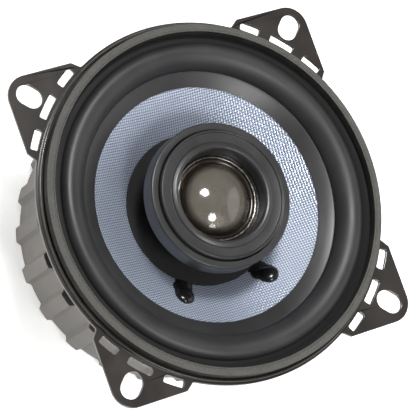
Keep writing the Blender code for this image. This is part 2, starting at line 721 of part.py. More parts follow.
def build_terminals():
    """Board on the solid part of the wall, with a wide and a narrow blade through it."""
    phenolic = material("phenolic_board", (0.16, 0.08, 0.035), 0.6)
    tin = material("tinned_brass", (0.62, 0.58, 0.48), 0.3, 1.0)
    steel = material("rivet_steel", (0.55, 0.55, 0.55), 0.35, 1.0)
    board = box("terminal_board", BOARD_SIZE, phenolic, wall_frame(TERMINAL_ANGLE, out=1.0))
    blades = (("terminal_positive", 3.4, 4.75), ("terminal_negative", -3.4, 2.8))
    for name, aside, width in blades:
        place = wall_frame(TERMINAL_ANGLE, BLADES_ALONG, aside, BLADES_OUT)
        blade = box(name, (width, 0.8, 13.0), tin, place)
        slit_place = wall_frame(TERMINAL_ANGLE, BLADES_ALONG, aside, out=1.0)
        slit = box(f"{name}_slit", (width + 0.6, 1.4, 6.0), None, slit_place)
        cut(board, slit)
        bevel = blade.modifiers.new("Bevel", "BEVEL")
        bevel.width = 0.25 * MM
        bevel.segments = 1
    for index, aside in enumerate(BOARD_RIVETS_ASIDE, 1):
        hole, middle, front_end = [
            wall_frame(TERMINAL_ANGLE, BOARD_RIVETS_ALONG, aside, out) for out in (1.0, 0.0, 2.5)]
        cut(board, rod(f"board_hole_cutter_{index}", BOARD_HOLE_RADIUS, 6.0, 12, None, hole))
        rivet = rod(f"terminal_rivet_{index}", 1.0, 5.6, 12, steel, middle)
        head = rod(f"rivet_head_{index}", 2.1, 0.9, 16, None, front_end, radius_top=1.4)
        join(rivet, head)


def build_capacitor():
    sleeve = material("capacitor_sleeve", (0.05, 0.09, 0.30), 0.35)
    lead = material("tinned_wire", (0.65, 0.64, 0.60), 0.3, 1.0)
    lie = Matrix.Rotation(math.pi / 2, 4, "Y")
    place = wall_frame(CAPACITOR_ANGLE, out=CAPACITOR_OUT) @ lie
    body = rod("crossover_capacitor", 3.1, 10.0, 20, sleeve, place)
    bevel = body.modifiers.new("Bevel", "BEVEL")
    bevel.width = 0.5 * MM
    bevel.segments = 2
    near = [wall_frame(CAPACITOR_ANGLE, 0.0, -5.35, CAPACITOR_OUT).translation,
            wall_frame(CAPACITOR_ANGLE, -0.2, -6.6, CAPACITOR_OUT).translation,
            wall_frame(TERMINAL_ANGLE, BLADES_ALONG, 7.2, 3.6).translation,
            wall_frame(TERMINAL_ANGLE, BLADES_ALONG, 6.2, 3.4).translation]
    far = [wall_frame(CAPACITOR_ANGLE, 0.0, 5.35, CAPACITOR_OUT).translation,
           wall_frame(CAPACITOR_ANGLE, -0.4, 6.6, 3.5).translation,
           wall_frame(CAPACITOR_ANGLE, -1.8, 7.4, 2.9).translation]
    wire("capacitor_lead_1", smooth_route(near), 0.3, lead)
    wire("capacitor_lead_2", smooth_route(far), 0.3, lead)


clear_scene()
PARTS = new_collection("coaxial_car_speaker")
CUTTERS = new_collection("cutters")
CUTTERS.hide_render = True

cone_travel = empty("cone_travel", (0, 0, front(-10.0)))
dome_travel = empty("dome_travel", (0, 0, front(DOME_BASE)))
build_basket()
build_gasket()
build_surround()
build_cone(cone_travel)
build_skirt(cone_travel)
build_beads(cone_travel)
build_coil(cone_travel)
build_spider()
build_tinsel_leads()
build_motor()
build_rivets()
build_boot()
build_post()
build_housing()
build_bezel()
build_tweeter_motor()
build_tweeter_diaphragm(dome_travel)
build_tweeter_suspension()
build_terminals()
build_capacitor()
build_tweeter_wires()
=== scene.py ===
"""Looks of the coaxial car speaker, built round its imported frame. Pieces are described in millimetres:
radii from the speaker axis, and heights from the front face of the mounting ears."""

import json
import math

import bmesh
import bpy
from mathutils import Matrix, Vector


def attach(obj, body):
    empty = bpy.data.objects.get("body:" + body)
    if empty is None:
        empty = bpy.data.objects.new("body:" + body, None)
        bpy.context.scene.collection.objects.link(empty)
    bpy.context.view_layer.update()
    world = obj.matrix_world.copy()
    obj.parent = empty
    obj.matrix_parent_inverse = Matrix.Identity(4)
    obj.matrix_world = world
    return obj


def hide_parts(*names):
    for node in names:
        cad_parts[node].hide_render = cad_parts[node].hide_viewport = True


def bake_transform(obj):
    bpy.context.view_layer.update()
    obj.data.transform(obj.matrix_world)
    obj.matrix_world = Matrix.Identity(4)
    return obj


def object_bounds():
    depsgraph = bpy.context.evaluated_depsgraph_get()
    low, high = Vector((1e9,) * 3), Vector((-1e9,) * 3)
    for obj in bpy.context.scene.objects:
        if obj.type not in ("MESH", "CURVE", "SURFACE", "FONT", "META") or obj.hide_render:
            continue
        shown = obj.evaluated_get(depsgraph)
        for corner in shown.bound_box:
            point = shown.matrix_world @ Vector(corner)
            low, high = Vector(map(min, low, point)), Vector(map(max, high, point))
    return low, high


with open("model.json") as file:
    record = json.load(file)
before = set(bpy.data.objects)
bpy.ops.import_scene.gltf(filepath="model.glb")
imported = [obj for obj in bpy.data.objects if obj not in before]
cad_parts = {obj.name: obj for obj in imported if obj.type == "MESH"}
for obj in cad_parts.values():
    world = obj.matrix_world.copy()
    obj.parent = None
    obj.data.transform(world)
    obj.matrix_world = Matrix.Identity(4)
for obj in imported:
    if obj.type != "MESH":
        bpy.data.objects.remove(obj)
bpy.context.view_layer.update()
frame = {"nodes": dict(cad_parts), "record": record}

MM = 0.001
FRAME_BODY = "frame"
CONE_BODY = "cone_assembly"
DOME_BODY = "dome_assembly"

# SHEET is the pressed steel's thickness, so the ears' front is that far in front of their back. The
# speaker stands on its back at height 0, so FRONT in metres and DEPTH in millimetres are one length.
SHEET = 1.0
EAR_BACK = next(m for m in frame["record"]["mounts"] if m["name"] == "ear_back_1")["pos_m"][2]
FRONT = EAR_BACK + SHEET * MM
DEPTH = FRONT / MM


# -------------------- driving sizes

# Basket: ears with their slots, rim with its lip, sloping wall with windows, and motor seat.
FLANGE_RADIUS = 50.6
EAR_ANGLES = (45, 135, 225, 315)
EAR_HALF_SIDE = 46.6
EAR_CORNER_RADIUS = 6.0
EAR_SHOULDER = (46.6, 26.0)
EAR_ROOT = (44.8, 23.6)
MOUNT_RADIUS = 57.5
MOUNT_SLOT = (7.6, 5.6)
BASE_SLOT_RADII = (50.8, 52.9)
BASE_SLOT_ANGLES = ((-14.3, -8.0), (-4.0, 4.0), (8.0, 14.3))
BASE_SLOT_CORNER = 0.45
RIM_RADIUS = 49.9
LIP_INNER_RADIUS = 49.35
LIP_HEIGHT = 1.15
WALL_TOP = (43.6, -6.0)
SPIDER_LEDGE = (34.0, -17.1)
SEAT_HOLE_RADIUS = 15.0
SEAT_HEIGHTS = (-22.0, -20.8)
WINDOW_WIDTH = 18.0
WINDOW_HEIGHTS = (-15.6, -7.4)
WINDOW_SPACING = 45

# Gasket, surround, cone, skirt and spider. A line runs inwards through points of (radius, height), and
# the surround lies on the cone inside JOINT_RADIUS.
GASKET_RADII = (46.6, 48.9)
ROLL_RADII = (37.05, 43.9)
ROLL_FEET = (-1.2, 0.85)
ROLL_RISE = 3.1
JOINT_RADIUS = 36.6
CONE_LINE = ((36.5, -1.95), (33.0, -3.75), (26.5, -7.15), (20.7, -10.45), (16.5, -13.1), (13.25, -15.3))
SKIRT_LINE = ((21.25, -9.75), (20.7, -9.5), (18.9, -9.35), (15.6, -9.75), (12.0, -10.7), (8.9, -11.4))
SPIDER_HEIGHT = -16.7
SPIDER_OUTER_RADIUS = 30.0
SPIDER_NECK_RADIUS = 14.6

# Drops of adhesive on the cone, and what the basket's wall carries, by angle round the axis.
BEAD_ANGLES = (236.5, 297.5)
BEAD_RADIUS = 25.4
TERMINAL_ANGLE = 270
TAG_ALONG = -1.0
TAG_ASIDE = 3.4
CAPACITOR_ANGLE = 293.0

# Boot. RIB_FLAT and RIB_FOOT are a rib's half width at its top and at its foot, in pitches.
BOOT_RADIUS = 40.2
BOOT_FRONT = -17.2
BOOT_FLOOR = 1.5 - DEPTH
RIB_COUNT = 22
RIB_START = 179.5
RIB_HEIGHT = 1.3
RIB_FLAT = 0.155
RIB_FOOT = 0.245
NOTCH_END = -24.8
NOTCH_WIDTH = 5.8
NOTCH_CORNER = 1.7

# Tweeter. The film darkens outwards over DOME_EDGE, a painted dark reflection, and the ring is bright inside
# RING_EDGE.
DOME_RADIUS = 9.9
DOME_BASE = 1.9
DOME_TOP = 5.4
DOME_EDGE = (7.6, 9.4)
SUSPENSION_RADII = (10.2, 11.3)
SUSPENSION_HEIGHT = 1.6
RING_EDGE = 11.6

# Distance from one thread, turning mark or wire to the next.
WEAVE_PITCH = 0.68
CLOTH_PITCH = 0.42
SPIDER_PITCH = 0.5
TURNING_PITCH = 0.12
WIRE_PITCH = 0.22


def new_object(name, data):
    obj = bpy.data.objects.new(name, data)
    bpy.context.scene.collection.objects.link(obj)
    return obj


def smooth(mesh, sharp):
    """Shades a mesh smooth, apart from edges sharper than an angle in degrees."""
    mesh.shade_smooth()
    mesh.set_sharp_from_angle(angle=math.radians(sharp))


def finished(name, edit, sharp=None):
    """New mesh from an edit, shaded smooth if there is an angle."""
    mesh = bpy.data.meshes.new(name)
    edit.to_mesh(mesh)
    edit.free()
    if sharp:
        smooth(mesh, sharp)
    return mesh


# -------------------- camera and stage

CAMERA_FROM_FRONT = Vector((-0.3222, -0.0830, 0.6361))
CAMERA_AIM = Vector((-0.00176, -0.00217, 0.0))
CAMERA_UP = Vector((0.2551, 0.9347, 0.2473))
CAMERA_LENS = 227.9
SENSOR = 36.0
FLOOR_HALF_SIDE = 4.0
FLOOR_GAP = 0.0002
FLOOR_GLOW = 0.56
WORLD_LIGHT = 0.11


def build_camera():
    data = bpy.data.cameras.new("camera")
    data.lens = CAMERA_LENS
    data.sensor_width = SENSOR
    data.clip_start = 0.05
    data.clip_end = 20.0
    camera = new_object("camera", data)
    centre = Vector((0, 0, FRONT))
    back = (CAMERA_FROM_FRONT - CAMERA_AIM).normalized()
    right = CAMERA_UP.cross(back).normalized()
    up = back.cross(right)
    turn = Matrix((right, up, back)).transposed().to_4x4()
    camera.matrix_world = Matrix.Translation(centre + CAMERA_FROM_FRONT) @ turn
    bpy.context.scene.camera = camera


def area_light(name, towards, distance, size, power, mirrored=True):
    """Round light in a direction from the speaker's face, aimed back at it, in metres and watts.
    Shiny pieces show it only if it is mirrored."""
    data = bpy.data.lights.new(name, "AREA")
    data.shape = "DISK"
    data.size = size
    data.energy = power
    light = new_object(name, data)
    direction = Vector(towards).normalized()
    light.location = Vector((0, 0, FRONT)) + direction * distance
    light.rotation_mode = "QUATERNION"
    light.rotation_quaternion = direction.to_track_quat("Z", "Y")
    light.visible_glossy = mirrored


def build_floor():
    """Plain pale paper that glows a little, so that it stays near white round the speaker."""
    edit = bmesh.new()
    bmesh.ops.create_grid(edit, x_segments=8, y_segments=8, size=FLOOR_HALF_SIDE)
    mesh = finished("floor", edit)
    floor = new_object("floor", mesh)
    floor.location.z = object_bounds()[0].z - FLOOR_GAP
    paper, tree, shade, place = material("paper_floor", (0.93, 0.93, 0.925), 0.7)
    grain = noise(tree, place, 400, 3)
    tint(tree, shade, grain, (0.92, 0.92, 0.915), (0.94, 0.94, 0.935))
    shade.inputs["Emission Color"].default_value = (1.0, 1.0, 0.995, 1.0)
    shade.inputs["Emission Strength"].default_value = FLOOR_GLOW
    mesh.materials.append(paper)


def build_world():
    world = bpy.data.worlds.new("studio")
    world.use_nodes = True
    background = world.node_tree.nodes["Background"]
    background.inputs["Color"].default_value = (1.0, 0.995, 0.985, 1.0)
    background.inputs["Strength"].default_value = WORLD_LIGHT
    bpy.context.scene.world = world
    bpy.context.scene.view_settings.view_transform = "Standard"


def build_lights():
    area_light("overhead_light", (0.1, -0.7, 0.9), 0.95, 0.5, 2.6, mirrored=False)
    area_light("key_light", (-0.02, 0.38, 0.925), 0.9, 0.24, 6.4)
    area_light("second_light", (-0.04, -0.477, 0.878), 0.9, 0.24, 2.4)
    area_light("low_light", (-0.07, -0.738, 0.672), 0.9, 0.20, 0.7)
    area_light("side_light", (-1.0, 0.15, 0.1), 0.9, 0.4, 1.5, mirrored=False)
    area_light("right_light", (0.87, -0.25, 0.42), 0.9, 0.95, 2.2)


# -------------------- material helpers

def material(name, colour, roughness, metallic=0.0, **sockets):
    """New material: (material, node tree, Principled shader, object coordinates)."""
    made = bpy.data.materials.new(name)
    made.use_nodes = True
    tree = made.node_tree
    shade = tree.nodes["Principled BSDF"]
    shade.inputs["Base Color"].default_value = (*colour, 1.0)
    shade.inputs["Roughness"].default_value = roughness
    shade.inputs["Metallic"].default_value = metallic
    for socket, value in sockets.items():
        shade.inputs[socket.replace("_", " ")].default_value = value
    place = tree.nodes.new("ShaderNodeTexCoord").outputs["Object"]
    return made, tree, shade, place


def noise(tree, place, scale, detail=2.0, roughness=0.5, stretch=None):
    """Noise over the object, with features of about 1 / scale metres."""
    if stretch:
        mapping = tree.nodes.new("ShaderNodeMapping")
        mapping.inputs["Scale"].default_value = stretch
        tree.links.new(place, mapping.inputs["Vector"])
        place = mapping.outputs["Vector"]
    node = tree.nodes.new("ShaderNodeTexNoise")
    node.inputs["Scale"].default_value = scale
    node.inputs["Detail"].default_value = detail
    node.inputs["Roughness"].default_value = roughness
    tree.links.new(place, node.inputs["Vector"])
    return node.outputs["Fac"]


def calc(tree, operation, *values):
    """One math step on values that are each a socket or a number."""
    node = tree.nodes.new("ShaderNodeMath")
    node.operation = operation
    for socket, value in zip(node.inputs, values):
        if isinstance(value, (int, float)):
            socket.default_value = value
        else:
            tree.links.new(value, socket)
    return node.outputs["Value"]


def spread(tree, value, low, high, out_low, out_high):
    """A value's range stretched from low and high to two others."""
    node = tree.nodes.new("ShaderNodeMapRange")
    tree.links.new(value, node.inputs["Value"])
    for socket, number in zip(("From Min", "From Max", "To Min", "To Max"), (low, high, out_low, out_high)):
        node.inputs[socket].default_value = number
    return node.outputs["Result"]


def tint(tree, shade, value, dark, light, low=0.3, high=0.7):
    """Base colour between two colours by a value."""
    ramp = tree.nodes.new("ShaderNodeValToRGB")
    ramp.color_ramp.elements[0].position = low
    ramp.color_ramp.elements[0].color = (*dark, 1.0)
    ramp.color_ramp.elements[1].position = high
    ramp.color_ramp.elements[1].color = (*light, 1.0)
    tree.links.new(value, ramp.inputs["Fac"])
    tree.links.new(ramp.outputs["Color"], shade.inputs["Base Color"])
    return ramp


def roughen(tree, shade, value, low, high):
    """Roughness between two amounts by a value."""
    tree.links.new(spread(tree, value, 0.3, 0.7, low, high), shade.inputs["Roughness"])


def bump(tree, shade, height, depth, strength=1.0):
    """Relief of a depth in millimetres, on top of any that the shader already has."""
    node = tree.nodes.new("ShaderNodeBump")
    node.inputs["Strength"].default_value = strength
    node.inputs["Distance"].default_value = depth * MM
    tree.links.new(height, node.inputs["Height"])
    before = shade.inputs["Normal"].links
    if before:
        tree.links.new(before[0].from_socket, node.inputs["Normal"])
    tree.links.new(node.outputs["Normal"], shade.inputs["Normal"])


def axis_parts(tree, place):
    """X, Y and Z of the coordinates."""
    split = tree.nodes.new("ShaderNodeSeparateXYZ")
    tree.links.new(place, split.inputs["Vector"])
    return split.outputs


def axis_radius(tree, place):
    """Distance from the speaker axis."""
    x, y, _ = axis_parts(tree, place)
    return calc(tree, "SQRT", calc(tree, "ADD", calc(tree, "MULTIPLY", x, x), calc(tree, "MULTIPLY", y, y)))


def weave_height(tree, place, pitch):
    """Height of a plain weave, its threads lowest in their dips and each crossing one pitch wide."""
    x, y, _ = axis_parts(tree, place)
    dip, crown = 0.55, 0.45
    u = calc(tree, "DIVIDE", x, pitch * MM)
    v = calc(tree, "DIVIDE", y, pitch * MM)
    across = calc(tree, "ABSOLUTE", calc(tree, "SINE", calc(tree, "MULTIPLY", u, math.pi)))
    along = calc(tree, "ABSOLUTE", calc(tree, "SINE", calc(tree, "MULTIPLY", v, math.pi)))
    cell = calc(tree, "ADD", calc(tree, "FLOOR", u), calc(tree, "FLOOR", v))
    over = calc(tree, "GREATER_THAN", calc(tree, "ABSOLUTE", calc(tree, "MODULO", cell, 2.0)), 0.5)
    warp = calc(tree, "MULTIPLY", across, calc(tree, "MULTIPLY_ADD", along, crown, dip))
    weft = calc(tree, "MULTIPLY", along, calc(tree, "MULTIPLY_ADD", across, crown, dip))
    under = calc(tree, "SUBTRACT", 1.0, over)
    return calc(tree, "ADD", calc(tree, "MULTIPLY", warp, over), calc(tree, "MULTIPLY", weft, under))


# -------------------- materials

def powder_coat():
    made, tree, shade, place = material("black_powder_coat", (0.032, 0.028, 0.026), 0.34, Coat_Weight=0.4,
                                        Coat_Roughness=0.12)
    mottle = noise(tree, place, 90, 3)
    tint(tree, shade, mottle, (0.022, 0.019, 0.017), (0.032, 0.027, 0.024))
    peel = noise(tree, place, 1500, 2)
    roughen(tree, shade, mottle, 0.26, 0.38)
    bump(tree, shade, peel, 0.03, 0.5)
    return made


def gasket_foam():
    """Grey foam with a fine open grain, with painted shade on its outer and inner sides."""
    made, tree, shade, place = material("gasket_foam", (0.12, 0.118, 0.11), 0.85)
    radius = axis_radius(tree, place)
    grit = noise(tree, place, 2600, 3, 0.7)
    patch = noise(tree, place, 220, 3)
    mixed = calc(tree, "ADD", calc(tree, "MULTIPLY", grit, 0.65), calc(tree, "MULTIPLY", patch, 0.35))
    # Outer and inner sides, masked by radius, are painted darker than the face: painted shade on the walls.
    outside = calc(tree, "GREATER_THAN", radius, (GASKET_RADII[1] - 0.08) * MM)
    inside = calc(tree, "LESS_THAN", radius, (GASKET_RADII[0] + 0.06) * MM)
    side = calc(tree, "ADD", outside, calc(tree, "MULTIPLY", inside, 0.7))
    shown = calc(tree, "SUBTRACT", mixed, calc(tree, "MULTIPLY", side, 0.6))
    # The dark end of the ramp is the painted shade on the sides.
    ramp = tint(tree, shade, shown, (0.010, 0.009, 0.008), (0.118, 0.115, 0.106), 0.0, 0.68)
    face = ramp.color_ramp.elements.new(0.32)
    face.color = (0.056, 0.055, 0.050, 1.0)
    roughen(tree, shade, patch, 0.75, 0.95)
    bump(tree, shade, grit, 0.09)
    return made


def surround_rubber():
    """Smooth black rubber, duller on the glued outer land and shinier on the inner one. The outer land is
    also painted near black, partly for its glue and partly as painted shade under the gasket.
    """
    made, tree, shade, place = material("surround_rubber", (0.026, 0.026, 0.027), 0.36)
    radius = axis_radius(tree, place)
    smear = noise(tree, place, 60, 4, 0.6)
    fine = noise(tree, place, 1800, 2)
    # Outer land mask: painted near black for its glue, and as painted shade under the gasket's inner wall.
    land = calc(tree, "GREATER_THAN", radius, (ROLL_RADII[1] + 0.15) * MM)
    shown = calc(tree, "SUBTRACT", smear, land)
    ramp = tint(tree, shade, shown, (0.005, 0.005, 0.005), (0.032, 0.032, 0.033), 0.0, 0.7)
    face = ramp.color_ramp.elements.new(0.3)
    face.color = (0.022, 0.022, 0.023, 1.0)
    joint = calc(tree, "LESS_THAN", radius, JOINT_RADIUS * MM)
    duller = calc(tree, "SUBTRACT", calc(tree, "MULTIPLY", land, 0.3), calc(tree, "MULTIPLY", joint, 0.1))
    usual = spread(tree, smear, 0.3, 0.7, 0.40, 0.48)
    tree.links.new(calc(tree, "ADD", usual, duller), shade.inputs["Roughness"])
    bump(tree, shade, fine, 0.02, 0.5)
    return made


def glass_weave():
    made, tree, shade, place = material("glass_fibre_weave", (0.45, 0.52, 0.64), 0.4, 0.6)
    height = weave_height(tree, place, WEAVE_PITCH)
    # Darker where the weave is low: painted shade in the dips between threads.
    tint(tree, shade, height, (0.16, 0.195, 0.27), (0.62, 0.68, 0.81), 0.12, 0.8)
    strands = noise(tree, place, 3000, 2, 0.6)
    roughen(tree, shade, strands, 0.30, 0.42)
    bump(tree, shade, height, 0.14, 0.9)
    return made


def black_cloth():
    made, tree, shade, place = material("black_cloth", (0.012, 0.012, 0.013), 0.9, Sheen_Weight=0.05,
                                        Sheen_Roughness=0.4)
    height = weave_height(tree, place, CLOTH_PITCH)
    # Darker where the weave is low: painted shade in the dips between threads.
    tint(tree, shade, height, (0.003, 0.003, 0.003), (0.016, 0.016, 0.017), 0.1, 0.9)
    bump(tree, shade, height, 0.12, 0.9)
    fuzz = noise(tree, place, 4000, 2)
    bump(tree, shade, fuzz, 0.04, 0.5)
    return made


def spider_cloth():
    made, tree, shade, place = material("spider_cloth", (0.42, 0.25, 0.10), 0.8)
    height = weave_height(tree, place, SPIDER_PITCH)
    # Darker where the weave is low: painted shade in the dips between threads.
    tint(tree, shade, height, (0.20, 0.11, 0.04), (0.52, 0.32, 0.13), 0.1, 0.9)
    bump(tree, shade, height, 0.12, 0.8)
    return made


def plain_plastic(name, colour, roughness, grain_depth, **sockets):
    """Moulded plastic with a fine grain and slight unevenness."""
    made, tree, shade, place = material(name, colour, roughness, **sockets)
    cloud = noise(tree, place, 120, 3)
    grain = noise(tree, place, 2400, 2)
    tint(tree, shade, cloud, tuple(c * 0.85 for c in colour), tuple(c * 1.15 for c in colour))
    roughen(tree, shade, cloud, roughness * 0.9, roughness * 1.12)
    bump(tree, shade, grain, grain_depth, 0.5)
    return made


def turned_metal(name, colour, roughness):
    """Plated metal with fine turning marks round the speaker axis."""
    made, tree, shade, place = material(name, colour, roughness, 1.0)
    height = axis_parts(tree, place)["Z"]
    travel = calc(tree, "ADD", axis_radius(tree, place), height)
    marks = calc(tree, "SINE", calc(tree, "MULTIPLY", travel, 2 * math.pi / (TURNING_PITCH * MM)))
    cloud = noise(tree, place, 150, 4)
    tint(tree, shade, cloud, tuple(c * 0.8 for c in colour), tuple(min(1.0, c * 1.1) for c in colour))
    roughen(tree, shade, cloud, roughness * 0.8, roughness * 1.3)
    bump(tree, shade, marks, 0.01, 0.4)
    return made


def copper_winding():
    made, tree, shade, place = material("copper_wire", (0.62, 0.26, 0.10), 0.28, 1.0)
    height = calc(tree, "MULTIPLY", axis_parts(tree, place)["Z"], math.pi / (WIRE_PITCH * MM))
    turns = calc(tree, "ABSOLUTE", calc(tree, "SINE", height))
    # Darker between the turns of wire: painted shade in the grooves.
    tint(tree, shade, turns, (0.25, 0.08, 0.03), (0.70, 0.30, 0.12), 0.1, 0.8)
    bump(tree, shade, turns, 0.08)
    return made


def ferrite_stone():
    made, tree, shade, place = material("ferrite", (0.030, 0.030, 0.033), 0.6)
    speck = noise(tree, place, 900, 4, 0.7)
    tint(tree, shade, speck, (0.018, 0.018, 0.020), (0.055, 0.055, 0.060))
    roughen(tree, shade, speck, 0.5, 0.8)
    bump(tree, shade, speck, 0.05, 0.6)
    return made


def boot_rubber():
    made, tree, shade, place = material("boot_rubber", (0.20, 0.193, 0.18), 0.6)
    bloom = noise(tree, place, 70, 4, 0.6)
    fine = noise(tree, place, 1400, 3)
    tint(tree, shade, bloom, (0.155, 0.146, 0.135), (0.215, 0.202, 0.187))
    roughen(tree, shade, bloom, 0.55, 0.72)
    bump(tree, shade, fine, 0.04, 0.5)
    return made


def satin_ring():
    """Black ring with a bright inner edge."""
    made, tree, shade, place = material("satin_ring", (0.05, 0.05, 0.05), 0.28)
    radius = axis_radius(tree, place)
    edge = calc(tree, "LESS_THAN", radius, RING_EDGE * MM)
    tint(tree, shade, edge, (0.012, 0.011, 0.010), (0.42, 0.39, 0.34))
    tree.links.new(edge, shade.inputs["Metallic"])
    scuffs = noise(tree, place, 800, 3)
    roughen(tree, shade, scuffs, 0.2, 0.35)
    return made


def smoky_film():
    """Thin brown film, darker towards its edge where it turns into the suspension: a painted dark reflection
    at the film's grazing edge.
    """
    made, tree, shade, place = material("smoky_film", (0.62, 0.56, 0.48), 0.07, Transmission_Weight=0.85,
                                        IOR=1.45, Coat_Weight=0.5, Coat_Roughness=0.16)
    radius = axis_radius(tree, place)
    cloud = noise(tree, place, 160, 2)
    start, end = DOME_EDGE
    # Lighter inside and darker towards the edge: painted dark reflection at the grazing edge.
    inside = spread(tree, radius, start * MM, end * MM, 0.5, 0.0)
    shown = calc(tree, "ADD", inside, calc(tree, "MULTIPLY", cloud, 0.4))
    tint(tree, shade, shown, (0.075, 0.058, 0.042), (0.50, 0.47, 0.41), 0.2, 0.7)
    return made


def suspension_film():
    made, tree, shade, place = material("suspension_film", (0.030, 0.018, 0.013), 0.16, Coat_Weight=0.5)
    cloud = noise(tree, place, 400, 2)
    tint(tree, shade, cloud, (0.011, 0.009, 0.007), (0.026, 0.020, 0.015))
    roughen(tree, shade, cloud, 0.12, 0.25)
    return made


def braid():
    made, tree, shade, place = material("tinsel_braid", (0.62, 0.40, 0.22), 0.35, 1.0)
    strand = noise(tree, place, 2500, 2, stretch=(1.0, 1.0, 0.4))
    tint(tree, shade, strand, (0.35, 0.20, 0.10), (0.75, 0.52, 0.30))
    bump(tree, shade, strand, 0.08)
    return made


def felt_pad():
    made, tree, shade, place = material("felt", (0.30, 0.28, 0.24), 0.95, Sheen_Weight=0.4)
    fibre = noise(tree, place, 1600, 4, 0.7)
    tint(tree, shade, fibre, (0.20, 0.185, 0.16), (0.40, 0.375, 0.33))
    bump(tree, shade, fibre, 0.12)
    return made


def phenolic_board():
    made, tree, shade, place = material("phenolic_board", (0.15, 0.07, 0.03), 0.5)
    fibre = noise(tree, place, 700, 4, 0.6, stretch=(1.0, 3.0, 3.0))
    tint(tree, shade, fibre, (0.10, 0.045, 0.02), (0.20, 0.10, 0.045))
    bump(tree, shade, fibre, 0.03, 0.6)
    return made


# -------------------- mesh helpers

def add_piece(name, mesh, finish, body, stands_for):
    """Adds a mesh in place of CAD nodes. It rides on a body, or on none."""
    obj = new_object(name, mesh)
    mesh.materials.clear()
    mesh.materials.append(finish)
    if body:
        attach(obj, body)
    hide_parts(*stands_for)
    return obj


def fillet(corners, closed=True):
    """Outline points from corners (radius, height[, rounding]), each corner rounded to an arc."""
    steps, most_share = 4, 0.49
    points = []
    count = len(corners)
    for i, corner in enumerate(corners):
        here = Vector(corner[:2])
        rounding = corner[2] if len(corner) > 2 else 0.0
        inner = closed or 0 < i < count - 1
        if not rounding or not inner:
            points.append(tuple(here))
            continue
        to_last = Vector(corners[i - 1][:2]) - here
        to_next = Vector(corners[(i + 1) % count][:2]) - here
        half = to_last.angle(to_next) / 2
        most = min(to_last.length, to_next.length) * most_share
        reach = min(rounding / math.tan(half), most)
        to_last.normalize()
        to_next.normalize()
        start = here + to_last * reach
        end = here + to_next * reach
        centre = here + (to_last + to_next).normalized() * (reach / math.cos(half))
        for step in range(steps + 1):
            chord = (start.lerp(end, step / steps) - centre).normalized()
            points.append(tuple(centre + chord * (start - centre).length))
    return points


def bridge(edit, first, second):
    """Faces between two rings of vertices, either of which may be a single vertex."""
    count = max(len(first), len(second))
    for i in range(count):
        j = (i + 1) % count
        near = (first[i % len(first)], first[j % len(first)])
        far = (second[j % len(second)], second[i % len(second)])
        edit.faces.new(dict.fromkeys(near + far))


def revolve_mesh(name, points, steps, closed=True, sharp=45):
    """Mesh of an outline of (radius, height) turned round the axis, radius 0 being one point."""
    edit = bmesh.new()
    turns = [2 * math.pi * i / steps for i in range(steps)]
    rings = []
    for radius, height in points:
        if radius < 1e-6:
            places = [(0, 0)]
        else:
            places = [(radius * MM * math.cos(turn), radius * MM * math.sin(turn)) for turn in turns]
        rings.append([edit.verts.new((*place, FRONT + height * MM)) for place in places])
    for first, second in zip(rings, rings[1:]):
        bridge(edit, first, second)
    if closed:
        bridge(edit, rings[-1], rings[0])
    bmesh.ops.recalc_face_normals(edit, faces=edit.faces)
    return finished(name, edit, sharp)


def skin(line, thickness):
    """Closed outline of a skin of even thickness about a line that runs from outside to inside."""
    half = thickness / 2
    below = []
    above = []
    for i, (radius, height) in enumerate(line):
        r0, z0 = line[max(i - 1, 0)]
        r1, z1 = line[min(i + 1, len(line) - 1)]
        length = math.hypot(r1 - r0, z1 - z0)
        across, up = (z1 - z0) / length * half, (r0 - r1) / length * half
        below.append((radius - across, height - up))
        above.append((radius + across, height + up))
    return below + above[::-1]


def eased(points, per_leg):
    """Points along a smooth curve through the given ones."""
    points = [Vector(p) for p in points]
    ends = [points[0] * 2 - points[1]] + points + [points[-1] * 2 - points[-2]]
    route = []
    for a, b, c, d in zip(ends, ends[1:], ends[2:], ends[3:]):
        for step in range(per_leg):
            t = step / per_leg
            bend = 0.5 * ((c - a) * t + (a * 2 - b * 5 + c * 4 - d) * t ** 2
                          + (b * 3 - a - c * 3 + d) * t ** 3)
            route.append(b + bend)
    route.append(points[-1])
    return route


def baked(obj):
    """The object's mesh with its modifiers applied; the object itself is removed."""
    bpy.context.view_layer.update()
    graph = bpy.context.evaluated_depsgraph_get()
    mesh = bpy.data.meshes.new_from_object(obj.evaluated_get(graph))
    mesh.transform(obj.matrix_world)
    bpy.data.objects.remove(obj, do_unlink=True)
    return mesh


def carve(obj, others, operation="DIFFERENCE"):
    """Mesh of an object with others cut from it, or joined to it. All of the objects are removed."""
    for other in others:
        step = obj.modifiers.new("carve", "BOOLEAN")
        step.operation = operation
        step.solver = "MANIFOLD"
        step.object = other
    mesh = baked(obj)
    for other in others:
        bpy.data.objects.remove(other, do_unlink=True)
    return mesh


def box_mesh(name, size, place, rounding):
    """Box of a size in millimetres at a matrix, with its edges rounded."""
    edit = bmesh.new()
    bmesh.ops.create_cube(edit, size=1.0)
    bmesh.ops.scale(edit, vec=[side * MM for side in size], verts=edit.verts)
    bmesh.ops.bevel(edit, geom=edit.edges, offset=rounding * MM, segments=3, profile=0.5, affect="EDGES")
    mesh = finished(name, edit, 50)
    mesh.transform(place)
    return mesh


